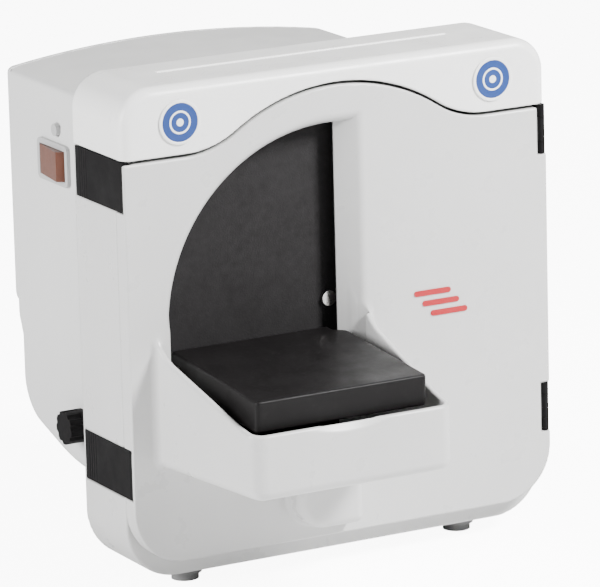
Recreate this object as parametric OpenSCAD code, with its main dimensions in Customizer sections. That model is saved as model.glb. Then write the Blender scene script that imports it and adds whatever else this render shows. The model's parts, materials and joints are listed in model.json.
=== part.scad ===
// Wet model trimmer for a dental laboratory.
// X runs across the machine, +Y to its back, +Z up. Every piece is drawn with the door's front
// face at y = 0, then placed() moves it so that the origin is the middle of the footprint.

/* [Body] */
// Width of the machine
body_w = 305; // [270:1:345]
// Height of the machine above the floor
body_h = 329; // [310:1:360]
// Depth of the front frame, behind the door
frame_d = 57.2; // [50:0.2:70]
// Radius of the two lower corners
low_corner_r = 36; // [20:1:45]
// Radius of the two upper corners
top_corner_r = 22; // [15:1:30]
// Moulded wall thickness
wall = 4; // [3:0.5:5]

/* [Feet] */
// Height of the feet
foot_h = 10; // [6:0.5:16]
// Radius of a foot
foot_r = 11; // [8:0.5:14]
// Distance of the front feet from the sides
foot_inset = 52; // [40:1:60]

/* [Door] */
// Thickness of the door
door_t = 12; // [11:0.5:15]
// Height of the frame's band that shows below the door
door_lift = 12.5; // [6:0.5:20]
// Gap between the door and the frame behind it
door_gap = 0.8; // [0.6:0.1:1.2]
// Seam between the door and the visor above it
seam = 2; // [1.8:0.1:3]
// Height of the top edge above the seam's crown
crown_drop = 13.7; // [12:0.1:20]
// Height of the seam's crown above its dips
crown_rise = 32.8; // [20:0.1:40]
// Distance of the seam's dips from the sides
dip_inset = 44.5; // [30:0.5:55]
// Distance of the opening's right edge from the disc's centre
jamb_x = -0.5; // [-4:0.5:6]
// Width of the slanted jamb beside the opening
jamb_w = 16; // [10:0.5:22]

/* [Disc] */
// Diameter of the grinding disc
disc_d = 234; // [190:1:240]
// Height of the disc's centre above the floor
disc_z = 173.5; // [168:0.5:178]
// Depth of the disc's face behind the door's front
disc_y = 20; // [19:0.5:24]
// Thickness of the abrasive
abrasive_t = 1.5; // [1:0.25:2.5]
// Thickness of the backing plate
backing_t = 8.5; // [6:0.5:10]
// Space round the disc's rim
rim_gap = 10; // [9:0.5:12]

/* [Table] */
// Height of the table's top below the disc's centre
table_drop = 18.5; // [14:0.5:24]
// Width of the table
table_w = 120.5; // [90:0.5:122]
// Reach of the table in front of the door
table_reach = 97; // [70:1:100]
// Height of the table's skirt
skirt_h = 20; // [16:1:24]
// Slope of the table towards the front, at rest
table_slope = 4; // [0:1:6]
// Gap between the table and the disc
table_gap = 2.5; // [1.5:0.5:4]
// Gap between the table and the left side of the opening
table_side_gap = 5; // [3:0.5:10]

/* [Basin] */
// Reach of the basin in front of the door
basin_reach = 106; // [90:1:120]
// Height of the basin's front rim
rim_z = 128; // [120:1:134]
// Height of the basin's sides where they meet the door
side_rim_z = 162; // [150:1:174]
// Height of the basin's underside
basin_z = 86; // [78:1:90]
// Channel between the table and the basin's right wall
channel_w = 10; // [8:1:16]
// Channel between the table and the basin's left wall, at the front
left_channel_w = 2; // [1.5:0.5:8]
// Narrowing of the basin's left wall towards the front
basin_taper = 13.5; // [0:0.5:20]

/* [Rear housing] */
// Distance of the rear housing from the frame's left side
rear_inset_left = 14.5; // [10:0.5:30]
// Distance of the rear housing from the frame's right side
rear_inset_right = 42.5; // [30:0.5:50]
// Depth of the machine from the door's front to the housing's back
rear_y = 190; // [185:1:220]
// Thickness of the rear panel
panel_t = 6.7; // [5:0.1:9]
// Height of the rear panel's lower edge
panel_z = 152; // [140:1:165]
// Height of the housing's top below the machine's top
rear_drop = 9; // [6:0.5:20]
// Height of the housing's underside
rear_low_z = 55; // [54:1:70]

/* [Hinges and latches] */
// Height of a hinge or latch
clasp_h = 32; // [24:1:40]
// Distance of the upper pair's top edge from the top
clasp_top = 45; // [40:1:54]
// Height of the lower pair's middle
clasp_low_z = 83; // [75:1:100]
// Radius of the hinge knuckles
knuckle_r = 3; // [2.5:0.1:3.2]
// Radius of the hinge and latch pins
pin_r = 1.5; // [1:0.1:1.8]

/* [Motor] */
// Radius of the motor's casing
motor_r = 60; // [50:1:64]
// Length of the motor's casing
motor_len = 68; // [60:1:74]
// Radius of the shaft
shaft_r = 8; // [6:0.5:10]

/* [Connections] */
// Radius of the water inlet's thread
inlet_r = 13.2; // [10:0.1:14]
// Free length of the water inlet
inlet_len = 14; // [10:0.5:16]
// Radius of the drain pipe
drain_r = 16; // [12:0.5:16]
// Free length of the drain pipe
drain_len = 40; // [30:1:50]

/* [Hidden] */
$fn = 64;
fit = 0.3;          // gap between pieces that are assembled without touching
run = 0.05;         // radial clearance of a running fit
eps = 0.5;          // overlap of a cutting tool past the face it opens

half_w = body_w / 2;
face_y = door_t + door_gap;                 // front face of the frame
back_y = face_y + frame_d;                  // back face of the frame
disc_r = disc_d / 2;
chamber_r = disc_r + rim_gap;
chamber_wall = 3;
chamber_back = disc_y + abrasive_t + backing_t + 15;
table_z = disc_z - table_drop;
opening_x = jamb_x - 4;                     // centre of the opening's arc
opening_x0 = opening_x - disc_r;
table_x1 = jamb_x + 5.5;
table_x0 = table_x1 - table_w;
tongue_x0 = max(table_x0, opening_x0 + table_side_gap);
tongue_x1 = jamb_x - 2;                     // the table's back end passes left of the jamb
pivot_y = door_t / 2;                       // tilt axis of the table
pivot_z = table_z - 9;
basin_x1 = table_x1 + channel_w + wall;
basin_x0 = table_x0 - left_channel_w - wall - basin_taper;
rear_x0 = -half_w + rear_inset_left;
rear_x1 = half_w - rear_inset_right;
rear_top = body_h - rear_drop;
clasp_z = [clasp_low_z, body_h - clasp_top - clasp_h / 2];
clasp_back = back_y - 3;                    // rear end of a hinge arm or latch
clasp_t = 3.3;                              // thickness of a hinge arm or latch
hinge_x = half_w - knuckle_r;
hinge_y = knuckle_r;
latch_skin = 2;                             // door skin in front of a latch's knuckle
latch_x = -half_w + clasp_t;
latch_y = latch_skin + fit + clasp_t;
motor_y = back_y + 12;                      // front end of the motor's casing
motor_end = motor_y + motor_len;
chassis_t = 4;
depth_y0 = -basin_reach;
depth_y1 = max(rear_y + 3 + inlet_len, rear_y + fit + panel_t);

// The seam is a crown arc that flows into a dip arc on each side.
crown_z = body_h - crown_drop;
dip_z = crown_z - crown_rise;
dip_x = half_w - dip_inset;
sweep = 2 * atan(crown_rise / dip_x);
arc_sum = dip_x / sin(sweep);
crown_r = 0.675 * arc_sum;                  // the crown takes two thirds of the run
dip_r = arc_sum - crown_r;
join_x = crown_r * sin(sweep);
function seam_z(x) = abs(x) < join_x
    ? crown_z - crown_r + sqrt(crown_r * crown_r - x * x)
    : dip_z + dip_r - sqrt(dip_r * dip_r - pow(min(abs(x) - dip_x, 0), 2));
shoulder_z = seam_z(half_w) + seam;         // lower edge of the visor's sides

// ---- building blocks ----
module placed() translate([0, -(depth_y0 + depth_y1) / 2, 0]) children();

module block(x0, x1, y0, y1, z0, z1) translate([x0, y0, z0]) cube([x1 - x0, y1 - y0, z1 - z0]);

// A shape drawn in X and Z, extruded from y0 to y1
module slab(y0, y1) translate([0, y1, 0]) rotate([90, 0, 0]) linear_extrude(y1 - y0) children();

// A shape drawn in Y and Z, extruded from x0 to x1
module rail(x0, x1) translate([x0, 0, 0]) rotate([90, 0, 90]) linear_extrude(x1 - x0) children();

module rod_x(y, z, r, x0, x1) translate([x0, y, z]) rotate([0, 90, 0]) cylinder(h = x1 - x0, r = r);
module rod_y(x, z, r, y0, y1) translate([x, y1, z]) rotate([90, 0, 0]) cylinder(h = y1 - y0, r = r);
module rod_z(x, y, r, z0, z1) translate([x, y, z0]) cylinder(h = z1 - z0, r = r);

module tube_y(x, z, outer, inner, y0, y1) difference() {
    rod_y(x, z, outer, y0, y1);
    rod_y(x, z, inner, y0 - eps, y1 + eps);
}

// Rectangle with its own radius at each corner: low left, low right, top right, top left
module rounded(x0, x1, z0, z1, r) {
    polygon([[x0 + r[0], z0], [x1 - r[1], z0], [x1, z0 + r[1]], [x1, z1 - r[2]],
             [x1 - r[2], z1], [x0 + r[3], z1], [x0, z1 - r[3]], [x0, z0 + r[0]]]);
    translate([x0 + r[0], z0 + r[0]]) circle(r[0]);
    translate([x1 - r[1], z0 + r[1]]) circle(r[1]);
    translate([x1 - r[2], z1 - r[2]]) circle(r[2]);
    translate([x0 + r[3], z1 - r[3]]) circle(r[3]);
}

module body_outline(inset = 0, lift = 0) rounded(
    -half_w + inset, half_w - inset, foot_h + lift + inset, body_h - inset,
    [low_corner_r - inset, low_corner_r - inset, top_corner_r - inset, top_corner_r - inset]);

// Everything below the seam, raised by lift
module below_seam(lift = 0) {
    steps = 24;
    polygon(concat([for (i = [-steps:steps]) let (x = i * half_w / steps) [x, seam_z(x) + lift]],
                   [[half_w, 0], [-half_w, 0]]));
}

// Quarter opening above the table, and the slot below it down to the basin's floor
module opening_outline() {
    floor_z = basin_z + wall;
    intersection() {
        translate([opening_x, disc_z]) circle(disc_r, $fn = 128);
        translate([opening_x0, disc_z]) square([disc_r, disc_r]);
    }
    translate([opening_x0, floor_z]) square([jamb_x - opening_x0, disc_z - floor_z]);
    translate([opening_x - eps, disc_z - eps]) square([jamb_x - opening_x + eps, disc_r + eps]);
}

// ---- casings ----
module front_frame() placed() color("gainsboro") difference() {
    union() {
        difference() {
            slab(face_y, back_y) union() {
                intersection() {
                    body_outline();
                    translate([-half_w, 0]) square([body_w, shoulder_z - fit]);
                }
                body_outline(wall + fit);
            }
            slab(face_y + wall, back_y + eps) frame_inner(0);
        }
        for (z = clasp_z, s = [-1, 1]) clasp_pad(s, z);
    }
    rod_y(0, disc_z, chamber_r + chamber_wall + 0.2, face_y - eps, face_y + wall + eps);
    seal_ring(0);
    for (z = clasp_z, s = [-1, 1])
        block(s > 0 ? half_w - clasp_t - fit : -half_w - eps,
              s > 0 ? half_w + eps : -half_w + clasp_t + fit,
              face_y - eps, clasp_back + fit, z - clasp_h / 2 - fit, z + clasp_h / 2 + fit);
}

// Inside of the frame, which steps in where the visor covers it
module frame_inner(gap) {
    intersection() {
        body_outline(wall + gap);
        translate([-half_w, 0]) square([body_w, shoulder_z - fit - wall - gap]);
    }
    body_outline(2 * wall + fit + gap);
}

// Thick pad inside the frame behind a hinge arm or latch
module clasp_pad(side, z) {
    x0 = half_w - 2 * wall - fit - eps;
    block(side > 0 ? x0 : -half_w + fit, side > 0 ? half_w - fit : -x0, face_y + eps, back_y,
          z - clasp_h / 2 - wall, min(z + clasp_h / 2 + min(wall, 3), shoulder_z - fit));
}

module top_visor() placed() color("whitesmoke") difference() {
    slab(0, back_y) difference() {
        body_outline();
        below_seam(seam);
    }
    slab(wall, face_y - wall / 2) difference() {
        body_outline(wall + 1);
        below_seam(seam + wall);
    }
    slab(face_y - wall / 2 - eps, back_y + eps) union() {
        body_outline(wall);
        translate([-half_w - eps, 0]) square([body_w + 2 * eps, shoulder_z]);
    }
    groove();
}

groove_w = 4.5;
groove_y = 43;
groove_inset = 47.5;                        // from the sides to the ends of the groove
module groove() block(-half_w + groove_inset, half_w - groove_inset, groove_y - groove_w / 2,
                      groove_y + groove_w / 2, body_h - 2.5, body_h + eps);

badge_r = 12.4;
module badges() placed() color("steelblue")
    for (s = [-1, 1]) rod_y(s * (half_w - 40), body_h - 23.5, badge_r, -1, 0);

module splash_chamber() placed() color("lightgray") {
    outer = chamber_r + chamber_wall;
    difference() {
        union() {
            rod_y(0, disc_z, outer, face_y, chamber_back);
            sump(chamber_wall);
        }
        rod_y(0, disc_z, chamber_r, face_y - eps, chamber_back - chamber_wall);
        sump(0);
        rod_y(0, disc_z, seal_r, chamber_back - chamber_wall - eps, chamber_back + eps);
        rod_y(spray_x, spray_z, spray_r + 0.5, chamber_back - 2 * chamber_wall, chamber_back + eps);
        rod_y(0, drain_z, drain_r - 3, chamber_back - 2 * chamber_wall, chamber_back + eps);
    }
}

// Well below the disc that leads the slurry to the drain
drain_z = foot_h + wall + 5 + drain_r;
module sump(grow) block(-drain_r - 4 - grow, drain_r + 4 + grow,
                        face_y + wall + chamber_wall - grow, chamber_back - chamber_wall + grow,
                        drain_z - drain_r + 2 - grow, disc_z - chamber_r * 0.9);

seal_w = 4;
module seal_ring(proud) tube_y(0, disc_z, chamber_r + chamber_wall + 2 + seal_w,
    chamber_r + chamber_wall + 2, face_y - proud, face_y + 2);
module door_seal() placed() color("dimgray") difference() {
    seal_ring(0.45);
    for (s = [-1, 1]) block(s > 0 ? half_w - 14 : -half_w, s > 0 ? half_w : -half_w + 14,
                            0, face_y + 3, 0, body_h);
}

module chassis_plate() placed() color("silver") difference() {
    slab(back_y - chassis_t, back_y) frame_inner(fit);
    for (z = clasp_z, s = [-1, 1]) {
        x0 = half_w - 2 * wall - 2 * fit - eps;
        block(s > 0 ? x0 : -half_w, s > 0 ? half_w : -x0, back_y - chassis_t - eps, back_y + eps,
              z - clasp_h / 2 - wall - fit, z + clasp_h / 2 + wall + fit);
    }
    rod_y(0, disc_z, shaft_r + 12, back_y - chassis_t - eps, back_y + eps);
    rod_y(0, drain_z, drain_r + fit, back_y - chassis_t - eps, back_y + eps);
    rod_y(spray_x, spray_z, hose_r + fit, back_y - chassis_t - eps, back_y + eps);
    for (a = [45:90:315]) rotate_about_disc(a)
        rod_y(bolt_pcd / 2, disc_z, bolt_r, back_y - chassis_t - eps, back_y + eps);
}

module rotate_about_disc(a)
    translate([0, 0, disc_z]) rotate([0, a, 0]) translate([0, 0, -disc_z]) children();

// ---- rear housing ----
crown_arc_r = 700;
shoulder_r = 50;
module rear_outline(inset = 0, low = rear_low_z) intersection() {
    rounded(rear_x0 + inset, rear_x1 - inset, low + inset, rear_top + 5 - inset,
            [15, 15, shoulder_r, 18] - inset * [1, 1, 1, 1]);
    translate([-25, rear_top - crown_arc_r]) circle(crown_arc_r - inset, $fn = 360);
}

// Side view of the housing: a flat floor, a slope that rises to the back, and a rounded heel
slope_y0 = 100;
slope_y1 = 160;
slope_rise = 19;
slope_a = atan(slope_rise / (slope_y1 - slope_y0));
heel_r = 24;
heel_y = rear_y - heel_r;
heel_z = slope_z(heel_y) + heel_r / cos(slope_a);
function slope_z(y) = rear_low_z + (y - slope_y0) * tan(slope_a);
module side_outline(inset = 0) {
    r = heel_r - inset;
    polygon([[back_y, rear_low_z + inset], [slope_y0 - inset * tan(slope_a / 2), rear_low_z + inset],
             [heel_y + r * sin(slope_a), heel_z - r * cos(slope_a)], [heel_y + r, heel_z],
             [heel_y + r, body_h], [back_y, body_h]]);
    translate([heel_y, heel_z]) circle(r);
}

panel_points = [[rear_x0 + 12, panel_z + 18], [rear_x0 + 12, body_h - 46],
                [rear_x1 - 12, panel_z + 18],
                [rear_x1 - shoulder_r + 38 * cos(40), rear_top + 5 - shoulder_r + 38 * sin(40)],
                [(rear_x0 + rear_x1) / 2, panel_z + 12]];
screw_r = 1.75;
screw_head_r = 3.5;

module rear_housing() placed() color("gainsboro") {
    difference() {
        union() {
            difference() {
                intersection() {
                    slab(back_y + fit, rear_y) rear_outline();
                    rail(rear_x0, rear_x1) side_outline();
                }
                intersection() {
                    slab(back_y, rear_y - wall) rear_outline(wall);
                    rail(rear_x0, rear_x1) side_outline(wall);
                }
                slab(rear_y - 2 * wall, rear_y + eps) rear_outline(2 * wall, panel_z);
            }
            for (p = panel_points) rod_y(p[0], p[1], 6, rear_y - 16, rear_y);
        }
        for (p = panel_points) rod_y(p[0], p[1], screw_r, rear_y - 14, rear_y + eps);
        switch_window();
        rod_x(reset_y, reset_z, reset_r + fit, rear_x0 - eps, rear_x0 + wall + eps);
        rod_x(knob_y, knob_z, stem_r + fit, rear_x0 - eps, rear_x0 + wall + eps);
        rod_y(inlet_x, inlet_z, inlet_r, rear_y - wall - eps, rear_y + eps);
        socket_window();
    }
}

grille_x = -10;
grille_z = panel_z + 78;
grille_w = 96;
grille_h = 56;
module rear_panel() placed() color("gainsboro") difference() {
    slab(rear_y + fit, rear_y + fit + panel_t) panel_outline(0);
    slab(rear_y, rear_y + fit + panel_t - wall) panel_outline(wall);
    slab(rear_y, rear_y + panel_t + 1)
        translate([grille_x - grille_w / 2 - fit, grille_z - grille_h / 2 - fit])
            square([grille_w + 2 * fit, grille_h + 2 * fit]);
    for (p = panel_points) {
        rod_y(p[0], p[1], screw_r + fit, rear_y - eps, rear_y + panel_t + 1);
        rod_y(p[0], p[1], screw_head_r + fit, rear_y + fit + panel_t - 2.4, rear_y + panel_t + 1);
    }
}
module panel_outline(inset) intersection() {
    rear_outline(inset);
    rounded(rear_x0 + inset, rear_x1 - inset, panel_z + inset, body_h,
            [10, 10, 10, 10] - inset * [1, 1, 1, 1]);
}

module vent_grille() placed() color("darkgray") difference() {
    slab(rear_y + fit + panel_t - wall, rear_y + fit + panel_t - 1)
        translate([grille_x - grille_w / 2, grille_z - grille_h / 2]) square([grille_w, grille_h]);
    for (i = [-3:3]) slab(rear_y, rear_y + panel_t + 1)
        rounded(grille_x - grille_w / 2 + 6, grille_x + grille_w / 2 - 6,
                grille_z + i * 7 - 2, grille_z + i * 7 + 2, [2, 2, 2, 2] * 0.99);
}

// ---- supports ----
leg_x = 64;
leg_w = 16;
leg_y0 = 128;
leg_y1 = 158;
module rear_leg(side) color("gainsboro")
    rail(side * leg_x - leg_w / 2, side * leg_x + leg_w / 2)
        polygon([[leg_y0, foot_h], [leg_y1, foot_h], [leg_y1, slope_z(leg_y1)],
                 [leg_y0, slope_z(leg_y0)]]);
module rear_leg_left() placed() rear_leg(-1);
module rear_leg_right() placed() rear_leg(1);

module feet() placed() color("lightgray") for (s = [-1, 1]) {
    foot(s * (half_w - foot_inset), face_y + frame_d / 2 - 6, foot_r);
    foot(s * leg_x, (leg_y0 + leg_y1) / 2, leg_w / 2);
}
module foot(x, y, r) {
    rod_z(x, y, r - 2, 0, foot_h / 2);
    rod_z(x, y, r, foot_h / 2 - eps, foot_h);
}

// ---- switch and buttons ----
switch_y = 125.5;
switch_z = body_h - 68.5;
switch_w = 43;
switch_h = 27;
well_w = 36;
well_h = 20;
rocker_x = rear_x0 + 4;                     // rocking axis
module switch_window() block(rear_x0 - eps, rear_x0 + wall + eps,
    switch_y - well_w / 2 - 2, switch_y + well_w / 2 + 2,
    switch_z - well_h / 2 - 2, switch_z + well_h / 2 + 2);
module switch_bezel() placed() color("dimgray") difference() {
    union() {
        rail(rear_x0 - 2.5, rear_x0) rounded(switch_y - switch_w / 2, switch_y + switch_w / 2,
            switch_z - switch_h / 2, switch_z + switch_h / 2, [4, 4, 4, 4]);
        block(rear_x0 - eps, rear_x0 + 24, switch_y - well_w / 2 - 2, switch_y + well_w / 2 + 2,
              switch_z - well_h / 2 - 2, switch_z + well_h / 2 + 2);
    }
    block(rear_x0 - 3, rear_x0 + 20, switch_y - well_w / 2, switch_y + well_w / 2,
          switch_z - well_h / 2, switch_z + well_h / 2);
}
rocker_tilt = 7;
module power_rocker() placed() color("peru")
    translate([rocker_x, switch_y, 0]) rotate([0, 0, -rocker_tilt]) intersection() {
        rocker_r = well_w / 2 - fit;
        block(-9, 6, -rocker_r, rocker_r, switch_z - well_h / 2 + fit, switch_z + well_h / 2 - fit);
        rod_z(0, 0, rocker_r, switch_z - well_h / 2, switch_z + well_h / 2);
    }

reset_y = switch_y - 4;
reset_z = switch_z + 22;
reset_r = 4;
module reset_button() placed() color("gray") {
    rod_x(reset_y, reset_z, reset_r, rear_x0 - 2.5, rear_x0 + wall + 2);
    rod_x(reset_y, reset_z, reset_r + 2, rear_x0 + wall + 1, rear_x0 + wall + 3);
}

// ---- water ----
knob_y = slope_y0;
knob_z = rear_low_z + 37;
knob_r = 11;
stem_r = 4;
module valve_body() placed() color("goldenrod") difference() {
    block(rear_x0 + wall, rear_x0 + 42, knob_y - 12, knob_y + 12, knob_z - 12, knob_z + 12);
    rod_x(knob_y, knob_z, stem_r + run, rear_x0, rear_x0 + 30);
}
module water_knob() placed() color("black") {
    difference() {
        rod_x(knob_y, knob_z, knob_r, rear_x0 - 13.5, rear_x0 - fit);
        for (a = [0:40:359]) translate([0, knob_y, knob_z]) rotate([a, 0, 0])
            rod_x(0, knob_r + 1.2, 2.4, rear_x0 - 14, rear_x0 - 4);
    }
    rod_x(knob_y, knob_z, stem_r, rear_x0 - 1, rear_x0 + 28);
}

hose_r = 5;
hose_x = rear_x0 + 30;
hose_y = back_y + 8;
valve_y0 = 142;
valve_y1 = 176;
inlet_x = hose_x;
inlet_z = knob_z + 30;
module solenoid_valve() placed() color("dimgray") {
    block(hose_x - 18, hose_x + 18, valve_y0, valve_y1, knob_z - 6, knob_z + 36);
    rod_z(hose_x, (valve_y0 + valve_y1) / 2, 14, knob_z + 36, knob_z + 64);
}
module water_inlet() placed() color("goldenrod") {
    rod_y(inlet_x, inlet_z, inlet_r - 1, valve_y1, rear_y);
    rod_y(inlet_x, inlet_z, inlet_r + 4, rear_y, rear_y + 3);
    tube_y(inlet_x, inlet_z, inlet_r, inlet_r - 3.5, rear_y + 3, rear_y + 3 + inlet_len);
}

spray_r = 2.5;
spray_ring_r = disc_r + rim_gap / 2;
spray_x = spray_ring_r * cos(45);
spray_z = disc_z + spray_ring_r * sin(45);
spray_y = (disc_y + door_t) / 2;
nozzle_r = 3.5;
spray_leg = 26;
module spray_tube() placed() color("silver") {
    rod_y(spray_x, spray_z, spray_r, spray_y, back_y - 12);
    translate([spray_x, spray_y, spray_z]) {
        sphere(spray_r + 0.5);
        rotate([0, -135, 0]) cylinder(h = spray_leg, r = spray_r);
    }
}
module spray_nozzle() placed() color("goldenrod") difference() {
    translate([spray_x, spray_y, spray_z]) rotate([0, -135, 0])
        translate([0, 0, spray_leg]) cylinder(h = 8, r1 = nozzle_r, r2 = spray_r);
    translate([spray_x, spray_y, spray_z]) rotate([0, -135, 0])
        translate([0, 0, spray_leg + 4]) cylinder(h = 5, r = 1);
}

// Hoses of straight runs with round elbows
module hose(points) for (i = [0:len(points) - 2]) {
    a = points[i];
    b = points[i + 1];
    d = b - a;
    translate(a) rotate([0, acos(d[2] / norm(d)), atan2(d[1], d[0])])
        cylinder(h = norm(d), r = hose_r);
    if (i > 0) translate(a) sphere(hose_r);
}
module supply_hose() placed() color("lightsteelblue") hose([
    [spray_x, back_y - 12, spray_z], [spray_x, hose_y, spray_z], [hose_x, hose_y, spray_z],
    [hose_x, hose_y, knob_z], [hose_x, knob_y - 12, knob_z]]);
module link_hose() placed() color("lightsteelblue") hose([
    [hose_x, knob_y + 12, knob_z], [hose_x, valve_y0, knob_z]]);

collar_y = back_y + 10;                     // the drain hose is pushed on up to this collar
collar_t = 4;
module drain_outlet() placed() color("gray") difference() {
    union() {
        rod_y(0, drain_z, drain_r, chamber_back, collar_y + collar_t + drain_len);
        rod_y(0, drain_z, drain_r + 3, collar_y, collar_y + collar_t);
    }
    rod_y(0, drain_z, drain_r - 3, chamber_back - eps, collar_y + collar_t + drain_len + eps);
}

// ---- electrical ----
socket_x = rear_x1 - 40;
socket_z = panel_z - 30;
module socket_window() block(socket_x - 15, socket_x + 15, rear_y - wall - eps, rear_y + eps,
    socket_z - 12, socket_z + 12);
module power_inlet() placed() color("black") {
    difference() {
        union() {
            block(socket_x - 15, socket_x + 15, rear_y - 24, rear_y, socket_z - 12, socket_z + 12);
            slab(rear_y, rear_y + 2.5) rounded(socket_x - 19, socket_x + 19, socket_z - 16,
                                               socket_z + 16, [4, 4, 4, 4]);
        }
        block(socket_x - 12, socket_x + 12, rear_y - 17, rear_y + 3, socket_z - 8.5, socket_z + 8.5);
    }
    for (i = [-1:1]) block(socket_x + i * 7 - 1, socket_x + i * 7 + 1, rear_y - 18, rear_y - 2,
                           socket_z - (i == 0 ? 5 : 1), socket_z - (i == 0 ? 1 : -3));
}

board_z = body_h - 44;
module control_board() placed() color("seagreen") {
    block(-70, 40, back_y + 24, back_y + 100, board_z, board_z + 1.6);
    block(-60, -28, back_y + 34, back_y + 62, board_z - 22, board_z);
    block(-10, 8, back_y + 36, back_y + 54, board_z - 15, board_z);
    for (i = [0:2]) rod_z(26, back_y + 38 + i * 18, 6, board_z - 18, board_z);
}
module run_capacitor() placed() color("silver")
    rod_y(rear_x1 - 35, rear_low_z + 45, 18, back_y + 18, back_y + 88);

sensor_x = -half_w + 14;
sensor_z = disc_z + 30;
module reed_sensor() placed() color("black") block(sensor_x - 5, sensor_x + 5, face_y + wall,
    face_y + wall + 8, sensor_z - 10, sensor_z + 10);

// ---- motor ----
flange_r = motor_r + 6;
bearing_r = shaft_r + 9;
seal_r = shaft_r + 6;
bolt_pcd = 2 * (motor_r - 6);
bolt_r = 3;
rotor_r = motor_r / 2;
module motor_flange() placed() color("silver") difference() {
    rod_y(0, disc_z, flange_r, back_y, motor_y);
    rod_y(0, disc_z, bearing_r, back_y + 2, motor_y + eps);
    rod_y(0, disc_z, shaft_r + 2, back_y - eps, back_y + 3);
    for (a = [45:90:315]) rotate_about_disc(a)
        rod_y(bolt_pcd / 2, disc_z, bolt_r, back_y - eps, back_y + 9);
}
module motor_casing() placed() color("dimgray") {
    tube_y(0, disc_z, motor_r, motor_r - 5, motor_y, motor_end);
    for (a = [0:30:359]) rotate_about_disc(a)
        block(motor_r - 1, motor_r + 4, motor_y, motor_end, disc_z - 1.5, disc_z + 1.5);
}
module motor_end_bell() placed() color("silver") difference() {
    rod_y(0, disc_z, motor_r, motor_end, motor_end + 10);
    rod_y(0, disc_z, bearing_r, motor_end - eps, motor_end + 8);
    rod_y(0, disc_z, shaft_r + 2, motor_end + 7, motor_end + 11);
}
module stator_core() placed() color("peru")
    tube_y(0, disc_z, motor_r - 5, rotor_r + 0.6, motor_y + 8, motor_end - 8);
module front_bearing() placed() color("silver")
    tube_y(0, disc_z, bearing_r, shaft_r + run, back_y + 2, motor_y);
module rear_bearing() placed() color("silver")
    tube_y(0, disc_z, bearing_r, shaft_r + run, motor_end, motor_end + 8);
module shaft_seal() placed() color("black")
    tube_y(0, disc_z, seal_r, shaft_r + run, chamber_back - chamber_wall, chamber_back + 3);

hub_y = disc_y + abrasive_t + 3;            // front end of the shaft, inside the backing plate
module motor_shaft() placed() color("silver") difference() {
    rod_y(0, disc_z, shaft_r, hub_y, motor_end + 22);
    rod_y(0, disc_z, 3, hub_y - eps, hub_y + 18);
}
module rotor_core() placed() color("gray")
    tube_y(0, disc_z, rotor_r, shaft_r, motor_y + 8, motor_end - 8);
module cooling_fan() placed() color("black") {
    tube_y(0, disc_z, shaft_r + 6, shaft_r, motor_end + 11, motor_end + 21);
    for (a = [0:45:359]) rotate_about_disc(a)
        block(shaft_r + 5, motor_r - 14, motor_end + 12, motor_end + 20, disc_z - 1, disc_z + 1);
}
module backing_plate() placed() color("silver") difference() {
    union() {
        rod_y(0, disc_z, disc_r - 1, disc_y + abrasive_t, disc_y + abrasive_t + backing_t);
        rod_y(0, disc_z, shaft_r + 10, disc_y + abrasive_t, disc_y + abrasive_t + backing_t + 6);
    }
    rod_y(0, disc_z, shaft_r, hub_y, disc_y + abrasive_t + backing_t + 7);
    rod_y(0, disc_z, 3, disc_y, hub_y + eps);
}
module abrasive_disc() placed() color("dimgray")
    tube_y(0, disc_z, disc_r, 3, disc_y, disc_y + abrasive_t, $fn = 128);
module hub_screw() placed() color("white") {
    rod_y(0, disc_z, 5, disc_y - 2.5, disc_y);
    rod_y(0, disc_z, 3, disc_y, hub_y + 17);
}

// ---- door ----
module door_outline() intersection() {
    body_outline(0, door_lift);
    below_seam();
}
module door_panel() placed() color("whitesmoke") difference() {
    slab(0, door_t) door_outline();
    slab(-eps, door_t + eps) opening_outline();
    jamb_cut();
    // back corner that swings past the frame
    linear_extrude(body_h) polygon([[half_w - 3, door_t], [half_w, door_t - 3],
                                    [half_w + eps, door_t + eps]]);
    for (z = clasp_z) {
        // the upper recesses run out of the door's top edge
        top = z == clasp_z[1] ? body_h : z + clasp_h / 2 + fit;
        block(half_w - 2 * knuckle_r - eps, half_w + eps, -eps, door_t + eps,
              z - clasp_h / 2 - fit, top);
        knuckle_tab(z);
        block(-half_w - eps, latch_x + clasp_t + fit, latch_skin, door_t + eps,
              z - clasp_h / 2 - fit, top);
        latch_pin(z);
    }
    rod_x(pivot_y, pivot_z, table_pin_r + run, opening_x0 - 8, jamb_x + jamb_w);
    magnet();
}

// Slanted jamb along the right side of the opening
module jamb_cut() translate([0, 0, basin_z + wall])
    linear_extrude(disc_z + disc_r - basin_z - wall)
        polygon([[jamb_x - 2 * eps, door_t + eps], [jamb_x, door_t], [jamb_x + jamb_w, 0],
                 [jamb_x + jamb_w, -eps], [jamb_x - 2 * eps, -eps]]);

module magnet() block(sensor_x - 4, sensor_x + 4, door_t - 4, door_t, sensor_z - 9, sensor_z + 9);
module door_magnet() placed() color("dimgray") magnet();

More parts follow.
